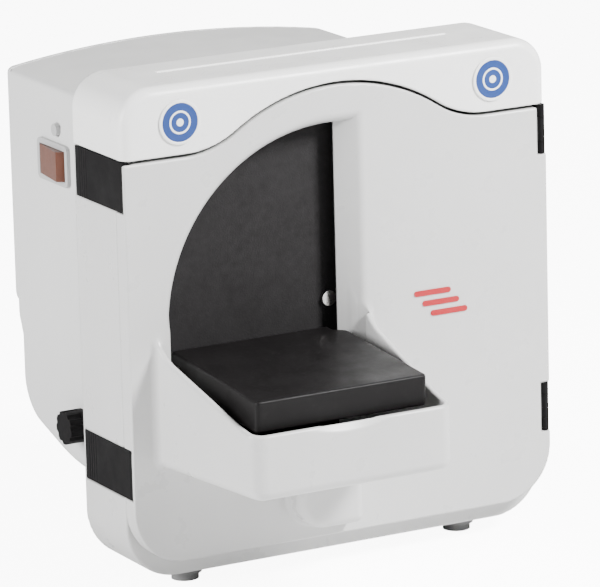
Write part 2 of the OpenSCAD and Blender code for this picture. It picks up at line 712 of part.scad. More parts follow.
basin_corner_r = 9;
module basin_plan(inset) {
    x0 = basin_x0 + inset;
    x1 = basin_x1 - inset;
    y0 = -basin_reach + inset;
    r = basin_corner_r - inset;
    slant = atan(basin_taper / basin_reach);
    corner_x = basin_x0 + basin_taper + inset + r / cos(slant) - r * tan(slant);
    polygon([[x0, 0], [corner_x - r * cos(slant), y0 + r - r * sin(slant)],
             [corner_x, y0], [x1 - r, y0], [x1, y0 + r], [x1, 0]]);
    translate([corner_x, y0 + r]) circle(r);
    translate([x1 - r, y0 + r]) circle(r);
}
notch_x = (table_x0 + table_x1) / 2;
notch_w = 62;
notch_d = 6;
notch_r = (notch_w * notch_w / 4 + notch_d * notch_d) / (2 * notch_d);
module drip_basin() placed() color("whitesmoke") difference() {
    translate([0, 0, basin_z]) linear_extrude(side_rim_z - basin_z) basin_plan(0);
    translate([0, 0, basin_z + wall]) linear_extrude(body_h) basin_plan(wall);
    block(basin_x0 + wall + 1, basin_x1 - wall, -wall, eps, basin_z + wall, body_h);
    // side rims fall towards the front
    rail(basin_x0 - eps, basin_x1 + eps) polygon([[-basin_reach - eps, rim_z],
        [-basin_reach + basin_corner_r, rim_z], [0, side_rim_z], [0, body_h],
        [-basin_reach - eps, body_h]]);
    rod_y(notch_x, rim_z - notch_d + notch_r, notch_r, -basin_reach - eps, -basin_reach + wall + eps);
}

boss_x0 = -43;
boss_x1 = 4;
boss_low_z = 32;
boss_reach = 16;
module drain_boss() placed() color("gainsboro")
    slab(-boss_reach, 0) rounded(boss_x0, boss_x1, boss_low_z, basin_z, [20, 5, 1, 1]);

mark_x = half_w - 81;
mark_z = disc_z - 8.5;
module door_mark() placed() color("indianred") for (i = [-1:1])
    slab(-0.6, 0) translate([mark_x - 6 * i, mark_z + 7 * i])
        rounded(-13.5, 13.5, -1.8, 1.8, [1.7, 1.7, 1.7, 1.7]);

// ---- hinges on the right, latches on the left ----
knuckle_h = clasp_h / 4;
module knuckle_tab(z) block(hinge_x - 12, hinge_x, 1, 2 * knuckle_r - 1,
    z - knuckle_h + fit, z + knuckle_h - fit);
module door_knuckles() placed() color("black") for (z = clasp_z) difference() {
    union() {
        rod_z(hinge_x, hinge_y, knuckle_r, z - knuckle_h + fit, z + knuckle_h - fit);
        knuckle_tab(z);
    }
    rod_z(hinge_x, hinge_y, pin_r + run, z - clasp_h, z + clasp_h);
}
module hinge_brackets() placed() color("black") for (z = clasp_z) difference() {
    union() {
        block(half_w - clasp_t, half_w, face_y + fit, clasp_back, z - clasp_h / 2, z + clasp_h / 2);
        for (s = [-1, 1]) translate([0, 0, z + s * (clasp_h / 2 - knuckle_h / 2)]) {
            rod_z(hinge_x, hinge_y, knuckle_r, -knuckle_h / 2, knuckle_h / 2);
            block(half_w - clasp_t, half_w, hinge_y, face_y + 1, -knuckle_h / 2, knuckle_h / 2);
        }
    }
    rod_z(hinge_x, hinge_y, pin_r, z - clasp_h, z + clasp_h);
}
module hinge_pins() placed() color("silver")
    for (z = clasp_z) rod_z(hinge_x, hinge_y, pin_r, z - clasp_h / 2, z + clasp_h / 2);

module latch(z) color("black") difference() {
    union() {
        block(-half_w, latch_x, latch_y, clasp_back, z - clasp_h / 2, z + clasp_h / 2);
        rod_z(latch_x, latch_y, clasp_t, z - clasp_h / 2, z + clasp_h / 2);
    }
    rod_z(latch_x, latch_y, pin_r + run, z - clasp_h, z + clasp_h);
    for (i = [0:3]) rod_z(-half_w - 0.6, clasp_back - 6 - 3 * i, 1, z - clasp_h, z + clasp_h);
}
module upper_latch() placed() latch(clasp_z[1]);
module lower_latch() placed() latch(clasp_z[0]);
module latch_pin(z) rod_z(latch_x, latch_y, pin_r, z - clasp_h / 2 - 8, z + clasp_h / 2 - 1);
module latch_pins() placed() color("silver") for (z = clasp_z) latch_pin(z);

// ---- table ----
table_pin_r = 2;
table_pin_left = opening_x0 - 6;
table_pin_right = jamb_x + jamb_w - 2;
jamb_gap = 3;                               // between the table and the jamb, along Y
function jamb_y(x) = door_t * (1 - (x - jamb_x) / jamb_w);
module tilted() translate([0, pivot_y, pivot_z]) rotate([table_slope, 0, 0])
    translate([0, -pivot_y, -pivot_z]) children();
module work_table() placed() tilted() color("black") difference() {
    block(table_x0, table_x1, -table_reach, disc_y - table_gap, table_z - skirt_h, table_z);
    block(tongue_x0 + wall, tongue_x1 - wall, -table_reach + wall, disc_y - table_gap - wall,
          table_z - skirt_h - eps, table_z - wall - 1);
    for (x = [[tongue_x0 - eps, tongue_x0 + 8], [tongue_x1 - 8, table_x1 + eps]])
        rod_x(pivot_y, pivot_z, table_pin_r, x[0], x[1]);
    // the right back corner clears the slanted jamb
    translate([0, 0, table_z - skirt_h - eps]) linear_extrude(skirt_h + 2 * eps)
        polygon([[tongue_x1, disc_y], [tongue_x1, jamb_y(tongue_x1) - jamb_gap],
                 [table_x1 + eps, jamb_y(table_x1 + eps) - jamb_gap], [table_x1 + eps, disc_y]]);
    // a table wider than the opening narrows where it passes through the door
    if (tongue_x0 > table_x0)
        block(table_x0 - eps, tongue_x0, -table_side_gap, disc_y, table_z - skirt_h - eps, table_z + eps);
}
module table_pins() placed() color("silver") {
    rod_x(pivot_y, pivot_z, table_pin_r, table_pin_left, tongue_x0 + 8);
    rod_x(pivot_y, pivot_z, table_pin_r, tongue_x1 - 8, table_pin_right);
}

// ---- fasteners ----
module panel_screws() placed() color("silver") for (p = panel_points) {
    rod_y(p[0], p[1], screw_r, rear_y - 12, rear_y + fit + panel_t - 2.4);
    rod_y(p[0], p[1], screw_head_r, rear_y + fit + panel_t - 2.4, rear_y + fit + panel_t - 0.4);
}
module motor_bolts() placed() color("silver") for (a = [45:90:315]) rotate_about_disc(a) {
    rod_y(bolt_pcd / 2, disc_z, bolt_r, back_y - chassis_t, back_y + 8);
    rod_y(bolt_pcd / 2, disc_z, 5, back_y - chassis_t - 5, back_y - chassis_t);
}

front_frame();
top_visor();
badges();
splash_chamber();
door_seal();
chassis_plate();
rear_housing();
rear_panel();
vent_grille();
rear_leg_left();
rear_leg_right();
feet();
switch_bezel();
power_rocker();
reset_button();
valve_body();
water_knob();
solenoid_valve();
water_inlet();
supply_hose();
link_hose();
spray_tube();
spray_nozzle();
drain_outlet();
power_inlet();
control_board();
run_capacitor();
reed_sensor();
motor_flange();
motor_casing();
motor_end_bell();
stator_core();
front_bearing();
rear_bearing();
shaft_seal();
motor_shaft();
rotor_core();
cooling_fan();
backing_plate();
abrasive_disc();
hub_screw();
door_panel();
drip_basin();
drain_boss();
door_mark();
door_magnet();
door_knuckles();
latch_pins();
hinge_brackets();
hinge_pins();
upper_latch();
lower_latch();
work_table();
table_pins();
panel_screws();
motor_bolts();
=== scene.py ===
import json
import math

import bmesh
import bpy
import numpy as np
from mathutils import Matrix, Vector


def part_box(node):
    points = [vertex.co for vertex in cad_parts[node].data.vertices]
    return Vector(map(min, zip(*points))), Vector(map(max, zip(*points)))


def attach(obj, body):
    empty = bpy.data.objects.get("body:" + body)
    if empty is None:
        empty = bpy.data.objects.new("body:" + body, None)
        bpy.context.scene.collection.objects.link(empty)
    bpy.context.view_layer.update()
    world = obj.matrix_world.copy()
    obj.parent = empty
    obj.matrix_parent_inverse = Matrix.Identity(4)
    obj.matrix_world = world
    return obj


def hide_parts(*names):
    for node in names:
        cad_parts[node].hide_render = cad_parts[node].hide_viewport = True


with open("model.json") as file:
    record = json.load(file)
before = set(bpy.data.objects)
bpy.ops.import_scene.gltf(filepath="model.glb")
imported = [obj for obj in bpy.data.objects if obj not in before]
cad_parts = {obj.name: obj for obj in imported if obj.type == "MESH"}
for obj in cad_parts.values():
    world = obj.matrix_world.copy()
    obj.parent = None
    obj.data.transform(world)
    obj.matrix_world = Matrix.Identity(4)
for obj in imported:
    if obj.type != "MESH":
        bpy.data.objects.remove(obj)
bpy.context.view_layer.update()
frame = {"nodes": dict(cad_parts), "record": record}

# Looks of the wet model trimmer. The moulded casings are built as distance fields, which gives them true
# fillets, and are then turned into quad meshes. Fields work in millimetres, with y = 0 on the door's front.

MM = 0.001
FRONT_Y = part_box("door_panel")[0].y


# ---------------------------------------------------------------- sizes from the frame
def mm_box(node):
    """A CAD node's box as (lowest, highest) corner in millimetres, with y counted from the door's front."""
    lo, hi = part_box(node)
    shift = Vector((0, FRONT_Y, 0))
    return (lo - shift) / MM, (hi - shift) / MM


def middle(box):
    return (box[0] + box[1]) / 2


DOOR = mm_box("door_panel")
FRAME = mm_box("front_frame")
VISOR = mm_box("top_visor")
REAR = mm_box("rear_housing")
PANEL = mm_box("rear_panel")
BASIN = mm_box("drip_basin")
BOSS = mm_box("drain_boss")
DISC = mm_box("abrasive_disc")
CHAMBER = mm_box("splash_chamber")
CLASPS = [mm_box("lower_latch"), mm_box("upper_latch")]
HINGE = mm_box("hinge_brackets")
SOCKET = mm_box("power_inlet")
INLET = mm_box("water_inlet")
GRILLE = mm_box("vent_grille")
SWITCH = mm_box("switch_bezel")
BADGES = mm_box("badges")
TABLE_PINS = mm_box("table_pins")

HALF_W = DOOR[1].x
TOP = VISOR[1].z
LOW = FRAME[0].z
DOOR_LOW = DOOR[0].z
DOOR_T = DOOR[1].y                      # the door's thickness
FACE_Y, BACK_Y = FRAME[0].y, FRAME[1].y
LOW_R, TOP_R = 36, 22                   # corners of the front outline
WALL = 4
SEAM = 2                                # gap between the door and the visor
GAP = 0.3                               # between a casing and what sits in it
DISC_R = (DISC[1].x - DISC[0].x) / 2
DISC_Z = middle(DISC).z
JAMB_X, JAMB_W = -0.5, 16               # where the slanted jamb meets the disc's side, and its width
OPENING_X = JAMB_X - 4                  # centre of the opening's arc
FLOOR_Z = BASIN[0].z + WALL

# The seam: a crown arc that flows into a dip arc on each side, and then runs level
CROWN_Z = DOOR[1].z
CROWN_RISE = 32.8
CROWN_SHARE = 0.675                     # of the two arcs' radii together
DIP_X = HALF_W - 44.5
SWEEP = 2 * math.atan(CROWN_RISE / DIP_X)
ARC_SUM = DIP_X / math.sin(SWEEP)
CROWN_R = CROWN_SHARE * ARC_SUM
DIP_R = ARC_SUM - CROWN_R
CROWN_CZ = CROWN_Z - CROWN_R
DIP_CZ = CROWN_Z - CROWN_RISE + DIP_R
SHOULDER_Z = CROWN_Z - CROWN_RISE + SEAM

# The table level, before it is tilted to its rest slope about its pins
TABLE_LOW, TABLE_HIGH = (-115.5, -97.0, 135.0), (5.0, 17.5, 155.0)
TABLE_SLOPE = math.radians(4)
PIVOT_Y, PIVOT_Z = 6.0, 146.0

# The drip basin
BASIN_R = 9
BASIN_TAPER = 13.5                      # how far its left wall slants over its length
RIM_Z = 128                             # top of the front rim
SCOOP_DEPTH, SCOOP_W = 6, 62            # thumb scoop in the front rim


# ---------------------------------------------------------------- distance fields
def both(a, b, r=0.0):
    """Where two shapes overlap, with the edge between them rounded to radius r."""
    return np.minimum(-r, np.maximum(a, b)) + np.hypot(np.maximum(a + r, 0), np.maximum(b + r, 0))


def either(a, b, r=0.0):
    """Two shapes joined, with a fillet of radius r in the corner between them."""
    return np.maximum(r, np.minimum(a, b)) - np.hypot(np.maximum(r - a, 0), np.maximum(r - b, 0))


def without(a, b, r=0.0):
    """Shape a with shape b cut away, and the edge of the cut rounded to radius r."""
    return both(a, -b, r)


def span(v, lo, hi):
    """The slab between lo and hi along one axis."""
    return np.abs(v - (lo + hi) / 2) - (hi - lo) / 2


def block(p, lo, hi, r=0.0):
    """A box from corner lo to corner hi."""
    x, y, z = p
    flat = both(span(x, lo[0], hi[0]), span(y, lo[1], hi[1]), r)
    return both(flat, span(z, lo[2], hi[2]), r)


def outline(x, z, inset=0.0, low=None):
    """The machine's front outline: a rectangle with large lower and smaller upper corners."""
    low = (LOW if low is None else low) + inset
    half_way = (low + TOP - inset) / 2
    r = np.where(z < half_way, LOW_R, TOP_R) - inset
    return both(np.abs(x) - HALF_W + inset, span(z, low, TOP - inset), r)


def seam(x, z, lift=0.0):
    """Negative below the seam between the door and the visor."""
    x, z = np.abs(x), z - lift
    crown = np.hypot(x, z - CROWN_CZ) - CROWN_R
    dip = DIP_R - np.hypot(np.minimum(x - DIP_X, 0), z - DIP_CZ)
    return np.where(x * (DIP_CZ - CROWN_CZ) < (z - CROWN_CZ) * DIP_X, crown, dip)


def soft_either(a, b, k):
    """Two shapes joined with a soft bend, for faces that meet at a shallow angle."""
    h = np.maximum(k - np.abs(a - b), 0) / k
    return np.minimum(a, b) - h * h * k / 4


def arch(p):
    """The quarter opening down to the basin's floor, open to the right."""
    x, y, z = p
    arc = np.hypot(np.minimum(x - OPENING_X, 0), np.maximum(z - DISC_Z, 0)) - DISC_R
    return both(arc, FLOOR_Z - z, 3)


def jamb(p):
    """Negative left of the slanted jamb."""
    x, y, z = p
    return ((x - JAMB_X) * DOOR_T + (y - DOOR_T) * JAMB_W) / math.hypot(JAMB_W, DOOR_T)


def mesh_of(name, field, lo, hi, step):
    """Quad mesh of the field's zero surface. Each grid cell that the surface crosses holds one vertex,
    which is then moved onto the surface, and takes its normal from the field."""
    axes = [np.arange(a - 1.5 * step, b + 2.5 * step, step) for a, b in zip(lo, hi)]
    grid = np.meshgrid(*axes, indexing="ij", sparse=True)
    value = np.ascontiguousarray(np.broadcast_to(field(grid), [len(a) for a in axes]))
    inside = value < 0
    cells = np.array([len(a) - 1 for a in axes])
    sums = np.zeros((int(cells.prod()), 4))
    quads = []
    for axis in range(3):
        u, v = (axis + 1) % 3, (axis + 2) % 3
        here = [slice(None)] * 3
        there = [slice(None)] * 3
        here[axis], there[axis] = slice(None, -1), slice(1, None)
        here, there = tuple(here), tuple(there)
        at = np.argwhere(inside[here] != inside[there])
        keep = (at[:, u] > 0) & (at[:, v] > 0) & (at[:, u] < cells[u]) & (at[:, v] < cells[v])
        at = at[keep]
        a, b = value[here][tuple(at.T)], value[there][tuple(at.T)]
        point = at.astype(float)
        point[:, axis] += a / (a - b)
        ring = []
        for du, dv in ((-1, -1), (0, -1), (0, 0), (-1, 0)):
            cell = at.copy()
            cell[:, u] += du
            cell[:, v] += dv
            ring.append(np.ravel_multi_index(tuple(cell.T), cells))
            for k in range(3):
                sums[:, k] += np.bincount(ring[-1], point[:, k], len(sums))
            sums[:, 3] += np.bincount(ring[-1], minlength=len(sums))
        ring = np.stack(ring, 1)
        flip = a > b
        ring[flip] = ring[flip][:, ::-1]
        quads.append(ring)
    used = np.flatnonzero(sums[:, 3])
    number = np.full(len(sums), -1)
    number[used] = np.arange(len(used))
    points = sums[used, :3] / sums[used, 3:]
    points = np.stack([axes[k][0] + points[:, k] * step for k in range(3)])
    points, normals = settle(field, points, step)
    faces = number[np.concatenate(quads)]
    world = points.T * MM + np.array([0, FRONT_Y, 0])
    return quad_object(name, world, faces, normals.T)


def slope_of(field, p, h):
    """The field's value and gradient at a list of points, from differences over h each way."""
    grad = []
    for k in range(3):
        up, down = [q.copy() for q in p], [q.copy() for q in p]
        up[k] = up[k] + h
        down[k] = down[k] - h
        grad.append((field(up) - field(down)) / (2 * h))
    return field(list(p)), np.stack(grad)


def settle(field, points, step):
    """Points moved onto the field's zero surface, and the surface's normals there."""
    most = 0.6 * step
    for _ in range(4):
        value, grad = slope_of(field, points, 0.02)
        size = np.maximum((grad**2).sum(0), 0.05)
        points = points - grad * np.clip(value / size, -most, most)
    grad = slope_of(field, points, 0.15)[1]
    return points, grad / np.maximum(np.linalg.norm(grad, axis=0), 1e-6)


def quad_object(name, points, faces, normals):
    """A smooth mesh object from arrays of points, four-cornered faces and vertex normals."""
    mesh = bpy.data.meshes.new(name)
    mesh.vertices.add(len(points))
    mesh.vertices.foreach_set("co", points.astype(np.float32).ravel())
    mesh.loops.add(faces.size)
    mesh.loops.foreach_set("vertex_index", faces.astype(np.int32).ravel())
    mesh.polygons.add(len(faces))
    mesh.polygons.foreach_set("loop_start", np.arange(0, faces.size, 4, dtype=np.int32))
    mesh.polygons.foreach_set("use_smooth", np.ones(len(faces), bool))
    mesh.update(calc_edges=True)
    mesh.validate()
    mesh.normals_split_custom_set_from_vertices(normals.astype(np.float32))
    piece = bpy.data.objects.new(name, mesh)
    bpy.context.scene.collection.objects.link(piece)
    return piece


# ---------------------------------------------------------------- casings
RECESS_DEPTH = 3.6                      # of the recesses for the latches and hinges


def recesses(grow, depth, y0, y1):
    """Corners of the four boxes at the latches and hinges, from outside the side's face in to a depth."""
    for lo, hi in CLASPS:
        for side in (-1, 1):
            x = sorted((side * (HALF_W + 3), side * (HALF_W - depth)))
            yield (x[0], y0, lo.z - grow), (x[1], y1, hi.z + grow)


def front_frame(p):
    """The tray behind the door. Its top slips under the visor, and its sides have the four recesses."""
    x, y, z = p
    shoulder = SHOULDER_Z - GAP
    edge = 1.6
    seen = both(outline(x, z), z - shoulder)
    covered = outline(x, z, WALL + GAP)
    shell = both(both(either(seen, covered), FACE_Y - y, edge), y - BACK_Y, edge)
    hollow = either(both(outline(x, z, WALL), z - shoulder + WALL), outline(x, z, 2 * WALL + GAP))
    shell = without(shell, both(hollow, FACE_Y + WALL - y), 0.5)
    for lo, hi in recesses(WALL, 2 * WALL + 0.5, FACE_Y + 0.5, BACK_Y):
        lo = (max(lo[0], -HALF_W + 0.5), lo[1], lo[2])
        hi = (min(hi[0], HALF_W - 0.5), hi[1], min(hi[2], shoulder - GAP))
        shell = either(shell, block(p, lo, hi, 0.5))
    hole = np.hypot(x, z - DISC_Z) - (CHAMBER[1].x + GAP)
    shell = without(shell, both(hole, y - FACE_Y - WALL - 2), 0.6)
    for lo, hi in recesses(GAP, RECESS_DEPTH, -5, HINGE[1].y + GAP):
        shell = without(shell, block(p, lo, hi, 0.3), 0.5)
    return shell


GROOVE_INSET, GROOVE_Y, GROOVE_W, GROOVE_DEPTH = 47.5, 43, 4.5, 2.5


def top_visor(p):
    """The hood over the door, hollow behind, with the long groove in its top."""
    x, y, z = p
    shell = both(outline(x, z), -y, 7)
    shell = both(shell, -seam(x, z, SEAM), 1.1)
    shell = both(shell, y - BACK_Y, 1.5)
    pocket = both(both(outline(x, z, WALL + 1.5), -seam(x, z, SEAM + WALL), 2), WALL - y, 1)
    shell = without(shell, both(pocket, y - FACE_Y), 0.3)
    behind = both(either(outline(x, z, WALL), z - SHOULDER_Z), DOOR_T - 1.5 - y)
    shell = without(shell, behind, 0.5)
    end = HALF_W - GROOVE_INSET
    low = (-end, GROOVE_Y - GROOVE_W / 2, TOP - GROOVE_DEPTH)
    groove = block(p, low, (end, GROOVE_Y + GROOVE_W / 2, TOP + 5), 0.8)
    return without(shell, groove, 0.7)


# A grey strip set back in the seam between the door and the visor, as painted shade that darkens the gap.
SHADE_STRIP_END, SHADE_STRIP_FRONT = HALF_W - 9, 1.3


def seam_shade_strip(p):
    """Grey rubber strip along the visor's lower edge, set back in the seam: painted shade that keeps the
    seam's gap dark.
    """
    x, y, z = p
    strip = both(seam(x, z, SEAM - 0.1), -seam(x, z, 0.4))
    return both(both(strip, np.abs(x) - SHADE_STRIP_END), span(y, SHADE_STRIP_FRONT, DOOR_T - 1))


def door_shell(p):
    """The door, with its quarter opening. The arc's edge is well rounded, and the jamb is slanted."""
    x, y, z = p
    face = np.minimum(both(-y, -arch(p), 8), both(-y, -jamb(p), 1.6))
    rim = both(outline(x, z, 0, DOOR_LOW), seam(x, z), 0.5)
    shell = both(both(face, rim, 1.2), y - DOOR_T, 0.6)
    heel = (x - HALF_W + y - DOOR_T + 3) / math.sqrt(2)
    shell = both(shell, heel, 0.5)
    for lo, hi in CLASPS:
        low = lo.z - GAP
        top = TOP if hi.z > DISC_Z else hi.z + GAP
        hinge = block(p, (HALF_W - 6.5, -5, low), (HALF_W + 5, DOOR_T + 5, top), 0.3)
        latch = block(p, (-HALF_W - 5, 2, low), (-HALF_W + 6.9, DOOR_T + 5, top), 0.3)
        shell = without(without(shell, hinge, 0.5), latch, 0.3)
    pin = middle(TABLE_PINS)
    bore = np.hypot(y - pin.y, z - pin.z) - 2.2
    return without(shell, both(bore, span(x, OPENING_X - DISC_R - 8, JAMB_X + JAMB_W)), 0.2)


def basin_shell(p):
    """The drip basin: slanted left wall, sides that fall to the front, and a thumb scoop in the front rim."""
    x, y, z = p
    reach, x0, x1 = -BASIN[0].y, BASIN[0].x, BASIN[1].x
    slant = math.atan(BASIN_TAPER / reach)

    def plan(inset, r):
        left = (x0 - x - y * math.tan(slant)) * math.cos(slant)
        return both(np.maximum(left, x - x1) + inset, -reach - y + inset, r)

    outer = both(plan(0, BASIN_R), BASIN[0].z - z, 7)
    fall = math.atan((BASIN[1].z - RIM_Z) / (reach - BASIN_R))
    slope = ((z - RIM_Z) - (y + reach - BASIN_R) * math.tan(fall)) * math.cos(fall)
    crest = soft_either(z - RIM_Z + 0 * y, slope, 5)
    # the sides sweep up into the door's face, along a plane that leans back into the door
    lean = 0.35
    crest = either(crest, (lean * (z - BASIN[1].z) - y) / math.hypot(1, lean), 14)
    hollow = both(plan(WALL, BASIN_R - WALL), FLOOR_Z - z, 5)
    body = without(both(outer, crest, 1.9), both(hollow, y - 5), 1.9)
    return both(without(body, thumb_scoop(p), 0.8), y - 3)


def thumb_scoop(p):
    """A ball that takes the front rim's outer edge down and leaves its inner edge straight."""
    x, y, z = p
    rim_arc = (SCOOP_W**2 / 4 + SCOOP_DEPTH**2) / (2 * SCOOP_DEPTH)
    inner_y = WALL - 0.5
    back = (inner_y**2 + (rim_arc - SCOOP_DEPTH) ** 2 - rim_arc**2) / (2 * inner_y)
    centre_x = (TABLE_LOW[0] + TABLE_HIGH[0]) / 2
    centre_z = RIM_Z - SCOOP_DEPTH + rim_arc
    away = np.sqrt((x - centre_x) ** 2 + (y - BASIN[0].y - back) ** 2 + (z - centre_z) ** 2)
    return away - math.hypot(rim_arc, back)


def drain_boss(p):
    """The boss under the basin, with one large and one small lower corner."""
    x, y, z = p
    lo, hi = BOSS
    corner = np.where(x < middle(BOSS).x, 20.0, 5.0)
    face = both(span(x, lo.x, hi.x), lo.z - z, corner)
    return both(both(both(face, lo.y - y, 6), z - hi.z - 3), y - 3)


def door_moulding(p):
    """Door, basin and boss as the one moulding that they are, with fillets between them."""
    body = either(door_shell(p), basin_shell(p), 4)
    keep_open = both(both(arch(p), jamb(p)), -p[1] - 2)
    body = either(body, drain_boss(p), 3)
    return without(body, keep_open, 0.5)


def rear_outline(x, z, inset=0.0, low=REAR[0].z):
    """The motor housing seen from behind: a domed top that falls away to the right."""
    x0, x1, top = REAR[0].x, REAR[1].x, REAR[1].z
    upper = np.where(x < (x0 + x1) / 2, 18, 50)
    r = np.where(z < (low + top) / 2, 15, upper) - inset
    sides = both(span(x, x0 + inset, x1 - inset), span(z, low + inset, top + 5 - inset), r)
    dome_r = 700
    dome = np.hypot(x + 25, z - top + dome_r) - dome_r + inset
    return both(sides, dome, 4)


def side_outline(y, z, inset=0.0):
    """The motor housing seen from the side: its underside slopes up towards the back."""
    a = math.atan(19 / 60)
    slope = (-(z - REAR[0].z) + (y - 100) * math.tan(a)) * math.cos(a)
    heel = both(slope + inset, y - REAR[1].y + inset, 24 - inset)
    return both(REAR[0].z - z + inset + 0 * y, heel, 10)


SIDE_HOLES = [(middle(mm_box("reset_button")), 4.3), (middle(mm_box("water_knob")), 4.4)]


def rear_housing(p):
    """The motor housing, with the hatch behind and a hole for each thing that passes through it."""
    x, y, z = p
    edge = np.clip((PANEL[0].z - 4 - z) / 14, 0, 1) * 7 + 1.2
    shell = both(rear_outline(x, z), side_outline(y, z), edge)
    shell = both(shell, BACK_Y + GAP - y, 1)
    hollow = both(rear_outline(x, z, WALL), side_outline(y, z, WALL), 2)
    shell = without(shell, hollow, 0.4)
    hatch = both(rear_outline(x, z, 2 * WALL, PANEL[0].z), 180 - y)
    shell = without(shell, hatch, 0.4)
    lo, hi = SWITCH
    low, high = (lo.x - 3, lo.y + 1.5, lo.z + 1.5), (lo.x + 9, hi.y - 1.5, hi.z - 1.5)
    shell = without(shell, block(p, low, high, 2), 0.3)
    for centre, r in SIDE_HOLES:
        hole = np.hypot(y - centre.y, z - centre.z) - r
        shell = without(shell, both(hole, x - REAR[0].x - 6), 0.3)
    lo, hi = SOCKET
    socket = block(p, (lo.x + 4, 180, lo.z + 4), (hi.x - 4, 195, hi.z - 4), 1)
    shell = without(shell, socket, 0.3)
    inlet = middle(INLET)
    bore = np.hypot(x - inlet.x, z - inlet.z) - 13
    return without(shell, both(bore, 183 - y), 0.3)


def rear_panel(p):
    """The stepped back panel, with the grille's window and a counterbore for each screw."""
    x, y, z = p
    lower = both(span(x, REAR[0].x, REAR[1].x), PANEL[0].z - z, 10.0)
    shape = both(rear_outline(x, z), lower, 2)
    shell = both(both(shape, y - PANEL[1].y, 4.5), PANEL[0].y - y)
    pocket = both(shape + WALL, y - (PANEL[1].y - WALL))
    shell = without(shell, pocket, 0.3)
    lo, hi = GRILLE
    window = block(p, (lo.x - GAP, 180, lo.z - GAP), (hi.x + GAP, 210, hi.z + GAP), 2)
    shell = without(shell, window, 0.6)
    for cx, cz in SCREWS:
        counterbore = both(np.hypot(x - cx, z - cz) - 3.9, PANEL[1].y - 2.4 - y)
        shell = without(shell, counterbore, 0.5)
    return shell


def screw_places():
    """Centres (x, z) of the rear panel's screws, from the separate solids of the CAD node."""
    bm = bmesh.new()
    bm.from_mesh(frame["nodes"]["panel_screws"].data)
    left = set(bm.verts)
    places = []
    while left:
        stack, solid = [left.pop()], []
        while stack:
            vertex = stack.pop()
            solid.append(vertex.co / MM)
            near = {edge.other_vert(vertex) for edge in vertex.link_edges} & left
            left -= near
            stack.extend(near)
        xs, zs = [c.x for c in solid], [c.z for c in solid]
        place = ((min(xs) + max(xs)) / 2, (min(zs) + max(zs)) / 2)
        if all(math.dist(place, other) > 2 for other in places):
            places.append(place)
    bm.free()
    return places


SCREWS = screw_places()


def work_table(p):
    """The table: a hollow block with its right back corner cut along the jamb, tilted to its rest slope."""
    x, y, z = p
    dy, dz = y - PIVOT_Y, z - PIVOT_Z
    y = PIVOT_Y + dy * math.cos(TABLE_SLOPE) + dz * math.sin(TABLE_SLOPE)
    z = PIVOT_Z - dy * math.sin(TABLE_SLOPE) + dz * math.cos(TABLE_SLOPE)
    lo, hi = TABLE_LOW, TABLE_HIGH
    along_jamb = ((x - JAMB_X) * DOOR_T + (y + 3 - DOOR_T) * JAMB_W) / math.hypot(JAMB_W, DOOR_T)
    corner = np.minimum(along_jamb, x - JAMB_X + 2)
    plan = both(both(span(x, lo[0], hi[0]), span(y, lo[1], hi[1]), 3), corner)
    body = both(both(plan, z - hi[2], 1.6), lo[2] - z, 0.8)
    low, high = (lo[0] + WALL, lo[1] + WALL, lo[2] - 9), (hi[0] - WALL, hi[1] - WALL, hi[2] - 5)
    return without(body, block((x, y, z), low, high, 2), 0.6)


# ---------------------------------------------------------------- materials
MATERIALS = {}                          # every finish below, by its name


class Paint:
    """Builds one node material. Texture places are object places in metres, so nothing swims in a pose."""

    def __init__(self, name):
        self.material = bpy.data.materials.new(name)
        self.material.use_nodes = True
        MATERIALS[name] = self.material
        self.tree = self.material.node_tree
        self.shader = self.tree.nodes["Principled BSDF"]
        self.place = self.add("ShaderNodeTexCoord").outputs["Object"]

    def add(self, kind, **settings):
        node = self.tree.nodes.new(kind)
        for key, value in settings.items():
            setattr(node, key, value)
        return node

    def link(self, source, target):
        self.tree.links.new(source, target)

    def set(self, **values):
        for key, value in values.items():
            self.shader.inputs[key.replace("_", " ")].default_value = value
        return self

    def noise(self, scale, detail=3.0, rough=0.5, stretch=None):
        """Noise of a given number of features per metre, with the place stretched per axis if asked."""
        place = self.place
        if stretch:
            mapping = self.add("ShaderNodeMapping")
            mapping.inputs["Scale"].default_value = stretch
            self.link(place, mapping.inputs["Vector"])
            place = mapping.outputs[0]
        node = self.add("ShaderNodeTexNoise")
        node.inputs["Scale"].default_value = scale
        node.inputs["Detail"].default_value = detail
        node.inputs["Roughness"].default_value = rough
        self.link(place, node.inputs["Vector"])
        return node.outputs["Fac"]

    def range(self, source, low, high, start=0.0, end=1.0):
        """The source's stretch from start to end, carried over to low to high."""
        node = self.add("ShaderNodeMapRange")
        for key, value in zip(("From Min", "From Max", "To Min", "To Max"), (start, end, low, high)):
            node.inputs[key].default_value = value
        self.link(source, node.inputs["Value"])
        return node.outputs[0]

    def mix(self, share, a, b):
        """Colour a turning to b with the share, where each colour is a tuple or another node's output."""
        node = self.add("ShaderNodeMix", data_type="RGBA")
        self.link(share, node.inputs[0])
        for key, colour in ((6, a), (7, b)):
            if isinstance(colour, tuple):
                node.inputs[key].default_value = (*colour, 1)
            else:
                self.link(colour, node.inputs[key])
        return node.outputs[2]

    def bump(self, height, distance, strength=1.0):
        """Adds a bump, on top of any that the material already has."""
        node = self.add("ShaderNodeBump")
        node.inputs["Distance"].default_value = distance
        node.inputs["Strength"].default_value = strength
        self.link(height, node.inputs["Height"])
        current = self.shader.inputs["Normal"]
        if current.is_linked:
            self.link(current.links[0].from_socket, node.inputs["Normal"])
        self.link(node.outputs[0], current)

    def drive(self, socket, source):
        self.link(source, self.shader.inputs[socket])


def shade(colour, share):
    return tuple(share * c for c in colour)


